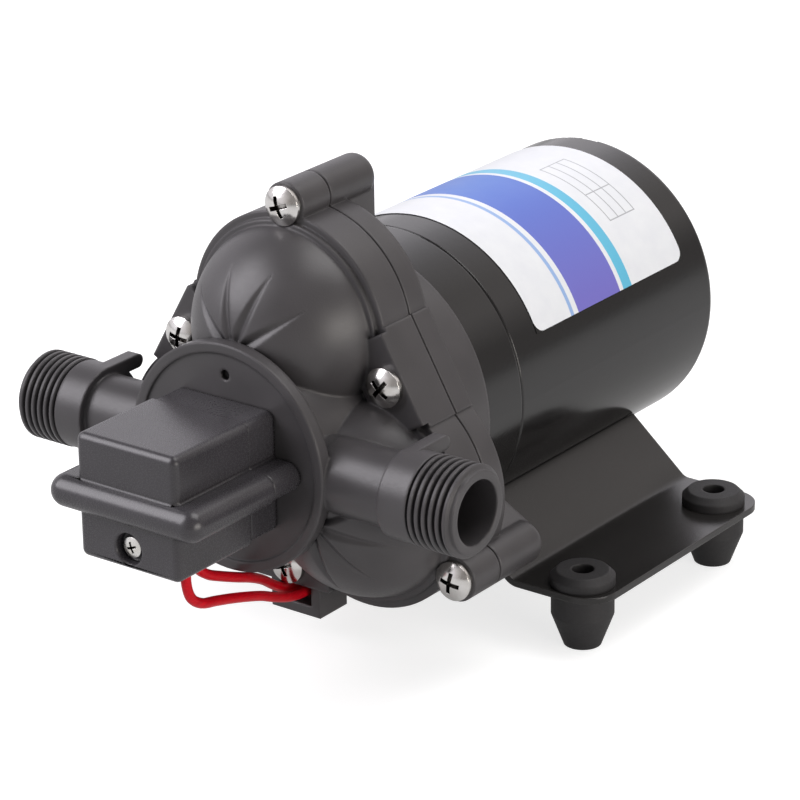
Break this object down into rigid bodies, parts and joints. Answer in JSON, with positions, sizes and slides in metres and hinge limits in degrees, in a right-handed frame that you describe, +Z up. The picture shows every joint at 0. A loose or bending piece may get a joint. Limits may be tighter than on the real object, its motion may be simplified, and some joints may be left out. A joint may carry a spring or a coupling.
{
  "type": "caravan water pump",
  "caption": "Motor-driven diaphragm water pump with a lobed head, threaded ports, a pressure switch on the front and a sheet base on rubber feet.",
  "frame": {"origin": "centre of the four foot holes, on the floor", "axes": "+X towards the outlet port, -Y towards the pressure switch, +Y along the motor, +Z up"},
  "size_m": [0.1284, 0.1845, 0.1107],
  "materials": {
    "moulded_plastic": "matte moulded",
    "motor_paint": "gloss paint",
    "sheet_paint": "satin paint",
    "foot_rubber": "matte",
    "stainless": "bright",
    "steel": "ground",
    "nylon": "natural",
    "seal_rubber": "matte",
    "copper": "enamelled and bare copper",
    "brass": "plain",
    "carbon": "carbon brush block",
    "ferrite": "sintered",
    "brush_board": "laminate",
    "switch_plastic": "moulded",
    "button_plastic": "moulded",
    "red_pvc": "wire insulation",
    "label_film": "printed film"
  },
  "bodies": {
    "pump": {"head_housing": "moulded_plastic", "drive_housing": "moulded_plastic", "switch_base": "moulded_plastic", "switch_cover": "moulded_plastic", "head_screws": "stainless", "switch_screws": "stainless", "switch_spring": "stainless", "brush_spring_right": "stainless", "brush_spring_left": "stainless", "lever_pin": "stainless", "valve_plate": "nylon", "intake_valves": "seal_rubber", "outlet_valve": "seal_rubber", "diaphragm": "seal_rubber", "switch_diaphragm": "seal_rubber", "front_bearing_outer": "steel", "motor_screws": "steel", "base_plate_screws": "steel", "motor_bell": "motor_paint", "motor_can": "motor_paint", "rear_bush": "brass", "microswitch_terminals": "brass", "magnets": "ferrite", "brush_card": "brush_board", "motor_label": "label_film", "base_plate": "sheet_paint", "foot_front_right": "foot_rubber", "foot_front_left": "foot_rubber", "foot_rear_right": "foot_rubber", "foot_rear_left": "foot_rubber", "microswitch_body": "switch_plastic", "red_wire_upper": "red_pvc", "red_wire_lower": "red_pvc"},
    "rotor": {"motor_shaft": "steel", "armature_core": "steel", "windings": "copper", "commutator": "copper", "front_bearing_inner": "steel", "wobble_cam": "steel", "wobble_bearing_inner": "steel"},
    "wobble": {"wobble_plate": "nylon", "wobble_bearing_outer": "steel", "pistons": "nylon", "piston_screws": "steel"},
    "wobble_balls": {"wobble_bearing_balls": "stainless"},
    "front_balls": {"front_bearing_balls": "stainless"},
    "plunger": {"switch_plunger": "nylon"},
    "lever": {"switch_lever": "steel"},
    "button": {"microswitch_button": "button_plastic"},
    "adjuster": {"pressure_adjust_screw": "stainless"},
    "nut": {"spring_nut": "brass"},
    "right_brush": {"brush_right": "carbon"},
    "left_brush": {"brush_left": "carbon"}
  },
  "joints": [
    {"name": "rotor_spin", "type": "hinge", "parent": "pump", "child": "rotor", "pos_m": [0, 0, 0.053], "axis": [0, -1, 0], "continuous": true, "deforming": ["diaphragm"]},
    {"name": "wobble_nutation", "type": "hinge", "parent": "rotor", "child": "wobble", "pos_m": [0, -0.0447, 0.053], "axis": [0, -0.9981, -0.061], "continuous": true, "deforming": ["diaphragm"]},
    {"name": "wobble_ball_roll", "type": "hinge", "parent": "rotor", "child": "wobble_balls", "pos_m": [0, -0.0447, 0.053], "axis": [0, -0.9981, -0.061], "continuous": true},
    {"name": "front_ball_roll", "type": "hinge", "parent": "pump", "child": "front_balls", "pos_m": [0, -0.0315, 0.053], "axis": [0, -1, 0], "continuous": true},
    {"name": "pressure_plunger", "type": "slide", "parent": "pump", "child": "plunger", "axis": [0, -1, 0], "range_m": [0, 0.0006], "stiffness_N_per_m": 2000, "deforming": ["switch_diaphragm", "switch_spring"]},
    {"name": "switch_lever_tilt", "type": "hinge", "parent": "pump", "child": "lever", "pos_m": [0, -0.0941, 0.0625], "axis": [-1, 0, 0], "range_deg": [0, 3.7]},
    {"name": "microswitch_press", "type": "slide", "parent": "pump", "child": "button", "axis": [0, -1, 0], "range_m": [0, 0.0003]},
    {"name": "pressure_adjust", "type": "hinge", "parent": "pump", "child": "adjuster", "pos_m": [0, -0.118, 0.0434], "axis": [0, -1, 0], "range_deg": [-566, 566], "deforming": ["switch_spring"]},
    {"name": "spring_nut_travel", "type": "slide", "parent": "pump", "child": "nut", "axis": [0, 1, 0], "range_m": [-0.0011, 0.0011], "deforming": ["switch_spring"]},
    {"name": "brush_right_slide", "type": "slide", "parent": "pump", "child": "right_brush", "axis": [1, 0, 0], "range_m": [0, 0.002], "stiffness_N_per_m": 150, "springref_m": -0.004, "deforming": ["brush_spring_right"]},
    {"name": "brush_left_slide", "type": "slide", "parent": "pump", "child": "left_brush", "axis": [-1, 0, 0], "range_m": [0, 0.002], "stiffness_N_per_m": 150, "springref_m": -0.004, "deforming": ["brush_spring_left"]}
  ],
  "couplings": [
    {"joint": "wobble_nutation", "follows": "rotor_spin", "ratio": -1},
    {"joint": "wobble_ball_roll", "follows": "rotor_spin", "ratio": -0.60101},
    {"joint": "front_ball_roll", "follows": "rotor_spin", "ratio": 0.39474},
    {"joint": "switch_lever_tilt", "follows": "pressure_plunger", "rad_per_m": 105.26},
    {"joint": "microswitch_press", "follows": "pressure_plunger", "ratio": 0.47368},
    {"joint": "pressure_adjust", "follows": "spring_nut_travel", "rad_per_m": 8976}
  ]
}
